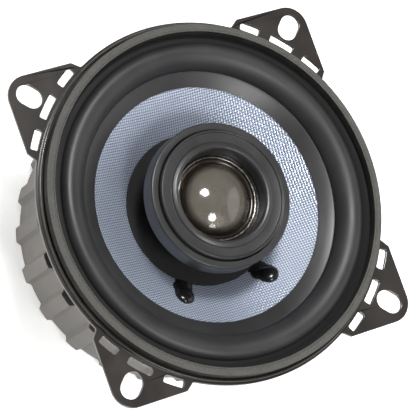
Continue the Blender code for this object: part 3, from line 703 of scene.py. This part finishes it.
def tube_mesh(name, points, radius, sides):
    """Round tube with closed ends along a list of vectors, whose first leg is not upright."""
    edit = bmesh.new()
    side = Vector((0, 0, 1)).cross(points[1] - points[0]).normalized()
    turns = [2 * math.pi * k / sides for k in range(sides)]
    rings = []
    for i, point in enumerate(points):
        ahead = (points[min(i + 1, len(points) - 1)] - points[max(i - 1, 0)]).normalized()
        side = (side - ahead * side.dot(ahead)).normalized()
        up = ahead.cross(side)
        spokes = [(side * math.cos(turn) + up * math.sin(turn)) * radius * MM for turn in turns]
        rings.append([edit.verts.new(point + spoke) for spoke in spokes])
    for first, second in zip(rings, rings[1:]):
        bridge(edit, first, second)
    edit.faces.new(rings[0][::-1])
    edit.faces.new(rings[-1])
    bmesh.ops.recalc_face_normals(edit, faces=edit.faces)
    return finished(name, edit, 60)


def flex(obj):
    """Bakes a piece's placement into its mesh."""
    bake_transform(obj)


def spot(radius, angle, height):
    """Place in metres of a point given by radius, angle round the axis, and height."""
    turn = math.radians(angle)
    return Vector((radius * MM * math.cos(turn), radius * MM * math.sin(turn), FRONT + height * MM))


def upright(radius, angle, height):
    """Matrix at such a point, with X outwards and Z up."""
    return Matrix.Translation(spot(radius, angle, height)) @ Matrix.Rotation(math.radians(angle), 4, "Z")


def arc(centre, radius, first, last, count):
    """Points round a centre from a first to a last angle, in equal steps."""
    x, y = centre
    angles = [math.radians(first + (last - first) * i / count) for i in range(count + 1)]
    return [(x + radius * math.cos(a), y + radius * math.sin(a)) for a in angles]


def turned_points(points, angle):
    turn = math.radians(angle)
    c, s = math.cos(turn), math.sin(turn)
    return [(x * c - y * s, x * s + y * c) for x, y in points]


# -------------------- the basket

def wall_frame(angle, along=0.0, aside=0.0, out=0.0):
    """Matrix on the outside of the sloping wall: X runs round the axis, Y up the slope and Z out."""
    slope = math.atan2(WALL_TOP[0] - SPIDER_LEDGE[0], WALL_TOP[1] - SPIDER_LEDGE[1])
    middle_r = (WALL_TOP[0] + SPIDER_LEDGE[0]) / 2 + SHEET * math.cos(slope)
    middle_z = (WALL_TOP[1] + SPIDER_LEDGE[1]) / 2 - SHEET * math.sin(slope)
    turn = Matrix.Rotation(math.radians(angle + 90), 4, "Z")
    tilt = Matrix.Rotation(math.pi / 2 + slope, 4, "X")
    middle = Matrix.Translation((0, -middle_r * MM, FRONT + middle_z * MM))
    return turn @ middle @ tilt @ Matrix.Translation((aside * MM, along * MM, out * MM))


def flange_outline():
    """Outer edge of the ear plate: four ears, each the same on both sides, and the rim between."""
    inner = EAR_HALF_SIDE - EAR_CORNER_RADIUS
    corner = arc((inner, inner), EAR_CORNER_RADIUS, 0, 90, 16)
    ear = fillet([(45.5, 22.2), (*EAR_ROOT, 0.6), (*EAR_SHOULDER, 1.2)], closed=False)[1:] + corner
    ear += [(y, x) for x, y in ear[:-len(corner)]][::-1]
    root = math.degrees(math.atan2(EAR_ROOT[1], EAR_ROOT[0]))
    rim = arc((0, 0), FLANGE_RADIUS, 90 - root, 90 + root, 40)[1:-1]
    outline = []
    for quarter in (0, 90, 180, 270):
        outline += turned_points(ear + rim, quarter)
    return outline


def mount_slot(angle):
    """Slot with round ends, lying along a line from the axis."""
    length, width = MOUNT_SLOT
    reach = (length - width) / 2
    points = arc((MOUNT_RADIUS + reach, 0), width / 2, -90, 90, 14)
    points += arc((MOUNT_RADIUS - reach, 0), width / 2, 90, 270, 14)
    return turned_points(points, angle)


def base_slot(angle, span):
    """Slot along the rim with rounded corners."""
    inner, outer = BASE_SLOT_RADII
    first, last = span
    steps = 6
    points = arc((0, 0), outer, first, last, steps) + arc((0, 0), inner, last, first, steps)
    corners = (0, steps, steps + 1, 2 * steps + 1)
    rounded = [(*p, BASE_SLOT_CORNER if i in corners else 0.0) for i, p in enumerate(points)]
    return turned_points(fillet(rounded), angle)


def plate_mesh(name, outlines, low, high, rounding):
    """Flat plate from outlines in millimetres, the first its edge and the others holes."""
    curve = bpy.data.curves.new(name, "CURVE")
    curve.dimensions = "2D"
    curve.fill_mode = "BOTH"
    curve.extrude = (high - low) / 2 * MM
    for outline in outlines:
        spline = curve.splines.new("POLY")
        spline.points.add(len(outline) - 1)
        spline.use_cyclic_u = True
        for target, (x, y) in zip(spline.points, outline):
            target.co = (x * MM, y * MM, 0.0, 1.0)
    obj = new_object(name, curve)
    obj.location.z = FRONT + (low + high) / 2 * MM
    mesh = baked(obj)
    edit = bmesh.new()
    edit.from_mesh(mesh)
    bmesh.ops.remove_doubles(edit, verts=edit.verts, dist=0.000001)
    rims = [e for e in edit.edges if e.is_manifold and e.calc_face_angle() > math.radians(60)
            and abs(e.verts[0].co.z - e.verts[1].co.z) < 1e-7]
    bmesh.ops.bevel(edit, geom=rims, offset=rounding * MM, segments=2, profile=0.5, affect="EDGES")
    edit.to_mesh(mesh)
    edit.free()
    return mesh


def basket_shell():
    """The basket's turned part: rim with a lip, sloping wall, spider ledge and motor seat."""
    wall_r, wall_z = WALL_TOP
    ledge_r, ledge_z = SPIDER_LEDGE
    seat_back, seat_top = SEAT_HEIGHTS
    profile = fillet([
        (RIM_RADIUS, LIP_HEIGHT, 0.5), (RIM_RADIUS, -1.12, 0.3), (46.2, -1.12, 0.6), (45.9, -2.2, 0.8),
        (wall_r + SHEET, wall_z - 0.5, 2.0), (ledge_r + 0.6, ledge_z - 1.1, 0.8), (31.3, ledge_z - 1.1, 0.5),
        (30.8, seat_back, 0.8), (SEAT_HOLE_RADIUS, seat_back, 0.2), (SEAT_HOLE_RADIUS, seat_top, 0.2),
        (29.6, seat_top, 0.5), (30.2, ledge_z, 0.8), (ledge_r, ledge_z, 0.5), (wall_r, wall_z, 2.0),
        (44.9, -1.5, 0.8), (45.2, 0.3, 0.3), (LIP_INNER_RADIUS, 0.3, 0.1),
        (LIP_INNER_RADIUS, LIP_HEIGHT, 0.04),
    ])
    return new_object("basket_frame", revolve_mesh("basket_frame", profile, 192))


def ear_plate():
    """Flat ring with the four ears, their mounting slots and the slots at their bases."""
    hole = arc((0, 0), RIM_RADIUS - 1.1, 0, 360, 160)[:-1]
    slots = [mount_slot(angle) for angle in EAR_ANGLES]
    slots += [base_slot(angle, span) for angle in EAR_ANGLES for span in BASE_SLOT_ANGLES]
    mesh = plate_mesh("ear_plate", [flange_outline(), hole] + slots, -SHEET, 0.0, 0.18)
    return new_object("ear_plate", mesh)


def window_cutters():
    """A box through the wall at each window. The terminals take the place of one window."""
    low, high = WINDOW_HEIGHTS
    size = (22.0, WINDOW_WIDTH, high - low)
    cutters = []
    for angle in range(0, 360, WINDOW_SPACING):
        if angle != TERMINAL_ANGLE:
            place = upright(40.0, angle, (low + high) / 2)
            cutters.append(new_object("window_cutter", box_mesh("window_cutter", size, place, 1.4)))
    return cutters


def build_basket():
    """Pressed steel basket with its flat faces shaded flat."""
    joined = new_object("basket_frame", carve(basket_shell(), [ear_plate()], "UNION"))
    slot = box_mesh("lead_slot", (11.6, 3.4, 6.0), wall_frame(TERMINAL_ANGLE, along=TAG_ALONG), 0.4)
    mesh = carve(joined, window_cutters() + [new_object("lead_slot", slot)])
    smooth(mesh, 40)
    for face in mesh.polygons:
        if abs(face.normal.z) > 0.9999:
            face.use_smooth = False
    add_piece("basket_frame", mesh, powder_coat(), FRAME_BODY, ["basket"])


# -------------------- gasket, surround and cone

def build_gasket():
    """Foam ring with a fine groove near its inner edge."""
    inner, outer = GASKET_RADII
    profile = fillet([
        (outer, 3.95, 0.3), (outer, 1.4, 0.1), (inner, 1.4, 0.1), (inner, 4.3, 0.3),
        (46.95, 4.38, 0.12), (47.05, 4.15, 0.05), (47.2, 4.15, 0.05), (47.3, 4.3, 0.12),
    ])
    mesh = revolve_mesh("rim_gasket", profile, 224)
    add_piece("rim_gasket", mesh, gasket_foam(), FRAME_BODY, ["front_gasket"])


def surround_line():
    """Middle of the rubber: outer land, half roll, and inner land down the cone."""
    inner, outer = ROLL_RADII
    inner_foot, outer_foot = ROLL_FEET
    middle, half = (inner + outer) / 2, (outer - inner) / 2
    line = [(48.5, outer_foot), (46.4, outer_foot), (outer + 0.3, outer_foot)]
    count = 28
    for step in range(1, count):
        turn = math.pi * step / count
        base = outer_foot + (inner_foot - outer_foot) * (1 - math.cos(turn)) / 2
        line.append((middle + half * math.cos(turn), base + ROLL_RISE * math.sin(turn)))
    return line + [(inner, -1.25), (36.4, -1.5), (34.8, -2.35), (33.35, -3.1), (33.0, -3.3)]


def build_surround():
    mesh = revolve_mesh("edge_surround", skin(surround_line(), 0.5), 224, sharp=60)
    obj = add_piece("edge_surround", mesh, surround_rubber(), None, ["surround"])
    flex(obj)


def build_cone():
    mesh = revolve_mesh("woven_cone", skin(CONE_LINE, 0.55), 224, sharp=60)
    add_piece("woven_cone", mesh, glass_weave(), CONE_BODY, ["cone"])


def build_skirt():
    line = [tuple(point) for point in eased(SKIRT_LINE, 5)]
    mesh = revolve_mesh("cloth_skirt", skin(line, 0.35), 128, sharp=70)
    add_piece("cloth_skirt", mesh, black_cloth(), CONE_BODY, ["dust_skirt"])


def cone_height(radius):
    """Height of the cone's front surface, which is 0.3 above its middle line, at a radius."""
    legs = zip(CONE_LINE, CONE_LINE[1:])
    (r0, z0), (r1, z1) = next(leg for leg in legs if leg[1][0] <= radius <= leg[0][0])
    return z1 + (z0 - z1) * (radius - r1) / (r0 - r1) + 0.3


def joint_lift(out, aside):
    """Rise of the adhesive above the cone: a round drop, a lobe beside it, and a strip inwards."""
    past = out - BEAD_RADIUS
    drop = max(0.0, 1 - (past / 2.8) ** 2 - ((aside - 0.2) / 2.9) ** 2)
    lobe = max(0.0, 1 - ((past + 1.9) / 1.7) ** 2 - ((aside + 1.5) / 1.8) ** 2)
    strip = max(0.0, 1 - (aside / 2.6) ** 2) * max(0.0, min(1.0, (0.5 - past) / 1.5))
    return max(1.75 * math.sqrt(drop), 0.95 * math.sqrt(lobe), 0.75 * math.sqrt(strip))


def joint_mesh(name, angle):
    """Sheet over the cone at an angle, lifted to the shape of the adhesive and sunk a little at its edge."""
    edit = bmesh.new()
    bmesh.ops.create_grid(edit, x_segments=36, y_segments=28, size=1.0)
    for vertex in edit.verts:
        u, v, _ = vertex.co
        out = BEAD_RADIUS - 1.0 + u * 4.2
        aside = v * (3.6 - 0.5 * max(0.0, -u))
        height = cone_height(math.hypot(out, aside)) + joint_lift(out, aside) - 0.12
        vertex.co = (out * MM, aside * MM, FRONT + height * MM)
    mesh = finished(name, edit)
    mesh.transform(Matrix.Rotation(math.radians(angle), 4, "Z"))
    mesh.shade_smooth()
    return mesh


def build_lead_joints():
    """Drop of black adhesive on each lead joint, running in under the skirt."""
    glue = plain_plastic("black_adhesive", (0.008, 0.008, 0.008), 0.18, 0.02)
    for index, angle in enumerate(BEAD_ANGLES, 1):
        name = f"lead_joint_{index}"
        blob = new_object(name, joint_mesh(name, angle))
        wall = blob.modifiers.new("thickness", "SOLIDIFY")
        wall.thickness = 0.15 * MM
        wall.offset = -1.0
        add_piece(name, baked(blob), glue, CONE_BODY, [f"lead_bead_{index}"])


def build_spider():
    """Waved cloth ring from the basket's ledge in to the voice coil's former."""
    line = [(33.4, SPIDER_HEIGHT), (30.4, SPIDER_HEIGHT)]
    waves, steps = 5, 60
    for step in range(steps + 1):
        share = step / steps
        rise = 0.62 * math.sin(2 * math.pi * waves * share)
        line.append((SPIDER_OUTER_RADIUS - 15.0 * share, SPIDER_HEIGHT + rise))
    line += [(SPIDER_NECK_RADIUS, SPIDER_HEIGHT), (13.1, SPIDER_HEIGHT)]
    mesh = revolve_mesh("centring_spider", skin(line, 0.3), 128, sharp=70)
    obj = add_piece("centring_spider", mesh, spider_cloth(), None, ["spider"])
    flex(obj)


# -------------------- the boot

def rib_rise(offset):
    """Share of a rib's height at an offset from its middle, in pitches, with rounded shoulders."""
    share = (abs(offset) - RIB_FLAT) / (RIB_FOOT - RIB_FLAT)
    share = min(1.0, max(0.0, share))
    return 0.5 + 0.5 * math.cos(math.pi * share)


def notch_cutter(angle):
    """Upright bar with a rounded lower end, across the boot's wall at an angle."""
    half = NOTCH_WIDTH / 2
    outline = arc((half - NOTCH_CORNER, NOTCH_END + NOTCH_CORNER), NOTCH_CORNER, -90, 0, 5)
    outline.append((half, BOOT_FRONT + 2.0))
    outline += [(-x, z) for x, z in outline[::-1]]
    edit = bmesh.new()
    near = [edit.verts.new((36.0 * MM, x * MM, FRONT + z * MM)) for x, z in outline]
    far = [edit.verts.new((44.0 * MM, x * MM, FRONT + z * MM)) for x, z in outline]
    edit.faces.new(near)
    edit.faces.new(far[::-1])
    bridge(edit, near, far)
    bmesh.ops.recalc_face_normals(edit, faces=edit.faces)
    mesh = finished("notch", edit)
    mesh.transform(Matrix.Rotation(math.radians(angle), 4, "Z"))
    return new_object("notch", mesh)


def boot_rings():
    """(radius between ribs, rise of a rib, height) of the boot's rings, from its rounded back edge
    over the front edge to the floor inside."""
    rings = []
    steps = 6
    for step in range(steps + 1):
        turn = math.pi / 2 * step / steps
        radius = BOOT_RADIUS - 3.2 * (1 - math.sin(turn))
        rings.append((radius, RIB_HEIGHT * math.sin(turn) ** 2, 3.0 * (1 - math.cos(turn)) ** 1.2 - DEPTH))
    edge = BOOT_FRONT - 0.25
    rings += [(BOOT_RADIUS, RIB_HEIGHT, height) for height in (-36.0, -30.0, -25.0, edge)]
    rings += [(40.0, 1.25, BOOT_FRONT), (38.6, 1.6, BOOT_FRONT), (38.4, 1.7, edge)]
    return rings + [(38.4, 1.7, BOOT_FLOOR + 1.0), (37.4, 1.2, BOOT_FLOOR)]


def boot_mesh():
    """Ribbed cup with closed walls and floor."""
    per_rib = 24
    pitch = 360 / RIB_COUNT
    offsets = [i / per_rib - 0.5 for i in range(per_rib)]
    places = [(RIB_START + pitch * (rib + offset), offset) for rib in range(RIB_COUNT) for offset in offsets]
    edit = bmesh.new()
    rings = []
    for base, rise, height in boot_rings():
        spots = [spot(base + rise * rib_rise(offset), angle, height) for angle, offset in places]
        rings.append([edit.verts.new(point) for point in spots])
    for first, second in zip(rings, rings[1:]):
        bridge(edit, first, second)
    for ring, height in ((rings[0], -DEPTH), (rings[-1], BOOT_FLOOR)):
        bridge(edit, ring, [edit.verts.new((0, 0, FRONT + height * MM))])
    bmesh.ops.recalc_face_normals(edit, faces=edit.faces)
    return finished("ribbed_boot", edit, 40)


def build_boot():
    """Ribbed rubber cup with a rounded notch in the front edge at each rib."""
    notches = [notch_cutter(RIB_START + 360 / RIB_COUNT * rib) for rib in range(RIB_COUNT)]
    mesh = carve(new_object("ribbed_boot", boot_mesh()), notches)
    add_piece("ribbed_boot", mesh, boot_rubber(), FRAME_BODY, ["magnet_boot"])


# -------------------- the tweeter

def build_housing(finish):
    """Outer shell of the tweeter pod, a cup with a hole for the post."""
    outline = fillet([
        (18.25, 6.0, 0.3), (20.3, 6.0, 0.5), (20.3, 0.1, 0.8), (10.6, -6.3, 1.0), (9.0, -7.0, 0.5),
        (4.9, -7.0), (4.9, -4.9), (9.6, -4.9, 0.5), (18.1, 0.2, 0.5), (18.1, 5.6, 0.1),
    ])
    mesh = revolve_mesh("pod_housing", outline, 192)
    add_piece("pod_housing", mesh, finish, FRAME_BODY, ["tweeter_housing"])


def build_bezel(finish):
    """Ring in the housing's mouth, with a raised outer edge and a rounded inner one."""
    outline = fillet([
        (17.4, 7.4, 0.25), (17.9, 7.0, 0.25), (17.9, 5.2), (17.7, 1.6), (16.9, 1.6), (16.4, 5.0, 0.3),
        (13.3, 5.0, 0.2), (12.85, 2.9), (12.4, 2.9), (12.65, 6.5, 0.2), (12.95, 7.12, 0.4), (13.6, 7.3, 0.5),
        (14.55, 6.95, 0.3), (14.8, 6.55, 0.12), (17.15, 6.8, 0.15),
    ])
    mesh = revolve_mesh("pod_bezel", outline, 192)
    add_piece("pod_bezel", mesh, finish, FRAME_BODY, ["tweeter_bezel"])


def build_retaining_ring():
    outline = fillet([
        (12.5, 2.4, 0.12), (12.5, 2.0), (11.3, 2.0, 0.05), (11.3, 2.5, 0.15), (11.75, 2.5, 0.15),
        (11.85, 2.3, 0.1), (12.3, 2.3, 0.1),
    ])
    mesh = revolve_mesh("diaphragm_ring", outline, 160)
    add_piece("diaphragm_ring", mesh, satin_ring(), FRAME_BODY, ["tweeter_retaining_ring"])


def build_post():
    """Hollow post that holds the pod over the cone, thinner inside the motor."""
    black = plain_plastic("post_metal", (0.03, 0.03, 0.03), 0.35, 0.02)
    outline = fillet([
        (4.6, -5.7), (4.6, -7.3), (8.0, -7.3, 0.3), (8.0, -21.5), (3.2, -21.5), (3.2, -41.8), (2.2, -41.8),
        (2.2, -5.7),
    ])
    mesh = revolve_mesh("pod_post", outline, 64)
    add_piece("pod_post", mesh, black, FRAME_BODY, ["tweeter_post"])


def build_tweeter():
    plastic = plain_plastic("tweeter_plastic", (0.034, 0.034, 0.035), 0.34, 0.015, Coat_Weight=0.08,
                            Coat_Roughness=0.10, Specular_IOR_Level=0.42)
    build_housing(plastic)
    build_bezel(plastic)
    build_retaining_ring()
    build_post()


def build_dome():
    """Cap of a sphere in thin film."""
    rise = DOME_TOP - DOME_BASE
    sphere = (DOME_RADIUS ** 2 + rise ** 2) / (2 * rise)
    widest = math.asin(DOME_RADIUS / sphere)
    rings, wall = 24, 0.12
    outer = []
    inner = []
    for step in range(rings + 1):
        turn = widest * step / rings
        drop = 1 - math.cos(turn)
        outer.append((sphere * math.sin(turn), DOME_TOP - sphere * drop))
        inner.append(((sphere - wall) * math.sin(turn), DOME_TOP - wall - (sphere - wall) * drop))
    mesh = revolve_mesh("film_dome", outer + inner[::-1], 128, closed=False)
    add_piece("film_dome", mesh, smoky_film(), DOME_BODY, ["tweeter_dome"])


def build_suspension():
    """Half roll of film round the dome, with a flat outer edge."""
    inner, outer = SUSPENSION_RADII
    middle = (inner + outer) / 2
    line = [(12.3, SUSPENSION_HEIGHT), (outer, SUSPENSION_HEIGHT)]
    count = 16
    for step in range(1, count):
        turn = math.pi * step / count
        line.append((middle + 0.5 * math.cos(turn), SUSPENSION_HEIGHT + 0.42 * math.sin(turn)))
    line += [(inner, SUSPENSION_HEIGHT), (10.05, 1.75)]
    mesh = revolve_mesh("film_suspension", skin(line, 0.14), 128, sharp=70)
    film = suspension_film()
    obj = add_piece("film_suspension", mesh, film, None, ["tweeter_suspension"])
    flex(obj)


def build_damping_pad():
    outline = [(0.0, 2.3), (8.3, 2.2, 0.4), (9.1, 1.6, 0.3), (9.1, 1.3, 0.1), (0.0, 1.3)]
    mesh = revolve_mesh("felt_pad", fillet(outline, closed=False), 96, closed=False)
    add_piece("felt_pad", mesh, felt_pad(), FRAME_BODY, ["tweeter_damping_pad"])


# -------------------- the connections

def on_wall(name, outline, steps, place):
    """Mesh of an outline turned round the Z axis of a matrix."""
    mesh = revolve_mesh(name, outline, steps, closed=False)
    mesh.transform(place @ Matrix.Translation((0, 0, -FRONT)))
    return mesh


def tag_blade(name, aside, width):
    """Blade of a terminal with a hole near its tip."""
    blade = box_mesh(name, (width, 0.8, 13.0), wall_frame(TERMINAL_ANGLE, TAG_ALONG, aside, 1.9), 0.2)
    offsets = (-2.0, 0.0, 2.0)
    route = [wall_frame(TERMINAL_ANGLE, TAG_ALONG + offset, aside, 5.6).translation for offset in offsets]
    hole = new_object("blade_hole", tube_mesh("blade_hole", route, 0.6, 24))
    return carve(new_object(name, blade), [hole])


def build_terminals():
    """Board on the basket's wall with two blades of different width through it."""
    plate = box_mesh("tag_board", (19.6, 10.0, 1.4), wall_frame(TERMINAL_ANGLE, out=1.0), 0.25)
    board = new_object("tag_board", plate)
    tin = turned_metal("tinned_brass", (0.72, 0.68, 0.58), 0.25)
    slits = []
    for name, node, aside, width in (("tag_positive", "terminal_positive", TAG_ASIDE, 4.75),
                                     ("tag_negative", "terminal_negative", -TAG_ASIDE, 2.8)):
        place = wall_frame(TERMINAL_ANGLE, TAG_ALONG, aside, 1.0)
        slits.append(new_object("slit", box_mesh("slit", (width + 0.5, 1.3, 6.0), place, 0.1)))
        add_piece(name, tag_blade(name, aside, width), tin, FRAME_BODY, [node])
    mesh = carve(board, slits)
    add_piece("tag_board", mesh, phenolic_board(), FRAME_BODY, ["terminal_board"])


def build_tag_rivets():
    steel = turned_metal("rivet_steel", (0.60, 0.60, 0.60), 0.30)
    outline = fillet([
        (0.0, 1.35), (1.3, 1.25, 0.4), (2.05, 0.35, 0.3), (2.05, 0.0), (1.0, 0.0), (1.0, -4.6), (0.0, -4.6),
    ], closed=False)
    for index, aside in enumerate((-7.4, 7.4), 1):
        name = f"tag_rivet_{index}"
        mesh = on_wall(name, outline, 32, wall_frame(TERMINAL_ANGLE, 2.6, aside, 2.05))
        add_piece(name, mesh, steel, FRAME_BODY, [f"terminal_rivet_{index}"])


def build_capacitor():
    """Can in a sleeve, with a groove near one end, lying along the wall."""
    sleeve = plain_plastic("capacitor_sleeve", (0.02, 0.035, 0.11), 0.28, 0.02, Coat_Weight=0.4)
    outline = fillet([
        (0.0, 5.0), (2.3, 5.0, 0.2), (2.4, 5.12, 0.1), (3.1, 5.0, 0.5), (3.1, 3.9, 0.2), (2.85, 3.6, 0.3),
        (3.1, 3.3, 0.2), (3.1, -5.0, 0.6), (2.6, -5.05, 0.1), (2.5, -4.8, 0.1), (0.0, -4.8),
    ], closed=False)
    place = wall_frame(CAPACITOR_ANGLE, out=3.7) @ Matrix.Rotation(math.pi / 2, 4, "Y")
    mesh = on_wall("bipolar_capacitor", outline, 48, place)
    add_piece("bipolar_capacitor", mesh, sleeve, FRAME_BODY, ["crossover_capacitor"])


def build_tinsel_leads():
    """Round braid from each lead joint to its terminal, slack enough for the cone's travel."""
    copper = braid()
    for index, (angle, aside) in enumerate(zip(BEAD_ANGLES, (-3.2, 3.2)), 1):
        end = wall_frame(TERMINAL_ANGLE, TAG_ALONG, aside, -5.2).translation
        start = spot(25.5, angle, -9.6)
        below = spot(26.9, angle, -11.8)
        sag = start * 0.45 + end * 0.55 - Vector((0, 0, 2.0 * MM))
        mesh = tube_mesh(f"tinsel_{index}", eased([start, below, sag, end], 12), 0.38, 10)
        obj = add_piece(f"tinsel_{index}", mesh, copper, None, [f"tinsel_lead_{index}"])
        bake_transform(obj)


# -------------------- the frame's own nodes

def dress(node, finish):
    """Gives a CAD node a finish and rounds its shading."""
    mesh = frame["nodes"][node].data
    mesh.materials.clear()
    mesh.materials.append(finish)
    smooth(mesh, 35)


def dress_nodes():
    zinc = turned_metal("zinc_steel", (0.56, 0.56, 0.53), 0.32)
    nickel = turned_metal("nickel_steel", (0.66, 0.63, 0.58), 0.25)
    rivet = turned_metal("bright_rivet", (0.60, 0.60, 0.60), 0.30)
    tinned = turned_metal("tinned_wire", (0.70, 0.69, 0.66), 0.25)
    winding = copper_winding()
    chassis = plain_plastic("chassis_plastic", (0.02, 0.02, 0.02), 0.45, 0.03)
    former = plain_plastic("former_film", (0.33, 0.15, 0.04), 0.25, 0.01, Coat_Weight=0.3)
    black_wire = plain_plastic("wire_black", (0.018, 0.018, 0.018), 0.35, 0.01)
    red_wire = plain_plastic("wire_red", (0.42, 0.025, 0.018), 0.35, 0.01)
    finishes = {
        "top_plate": zinc, "pole_yoke": zinc, "post_nut": zinc, "ferrite_magnet": ferrite_stone(),
        "voice_coil_former": former, "voice_coil_winding": winding, "tweeter_coil": winding,
        "tweeter_chassis": chassis, "tweeter_magnet_cup": nickel, "tweeter_magnet": nickel,
        "tweeter_pole_plate": nickel, "tweeter_wire_negative": black_wire, "tweeter_wire_positive": red_wire,
        "capacitor_lead_1": tinned, "capacitor_lead_2": tinned,
    }
    finishes.update({f"basket_rivet_{i}": rivet for i in range(1, 5)})
    for node, finish in finishes.items():
        dress(node, finish)


build_camera()
build_floor()
build_world()
build_lights()
build_basket()
build_gasket()
build_surround()
build_cone()
build_skirt()
build_lead_joints()
build_spider()
build_boot()
build_tweeter()
build_dome()
build_suspension()
build_damping_pad()
build_terminals()
build_tag_rivets()
build_capacitor()
build_tinsel_leads()
dress_nodes()

bpy.context.view_layer.update()
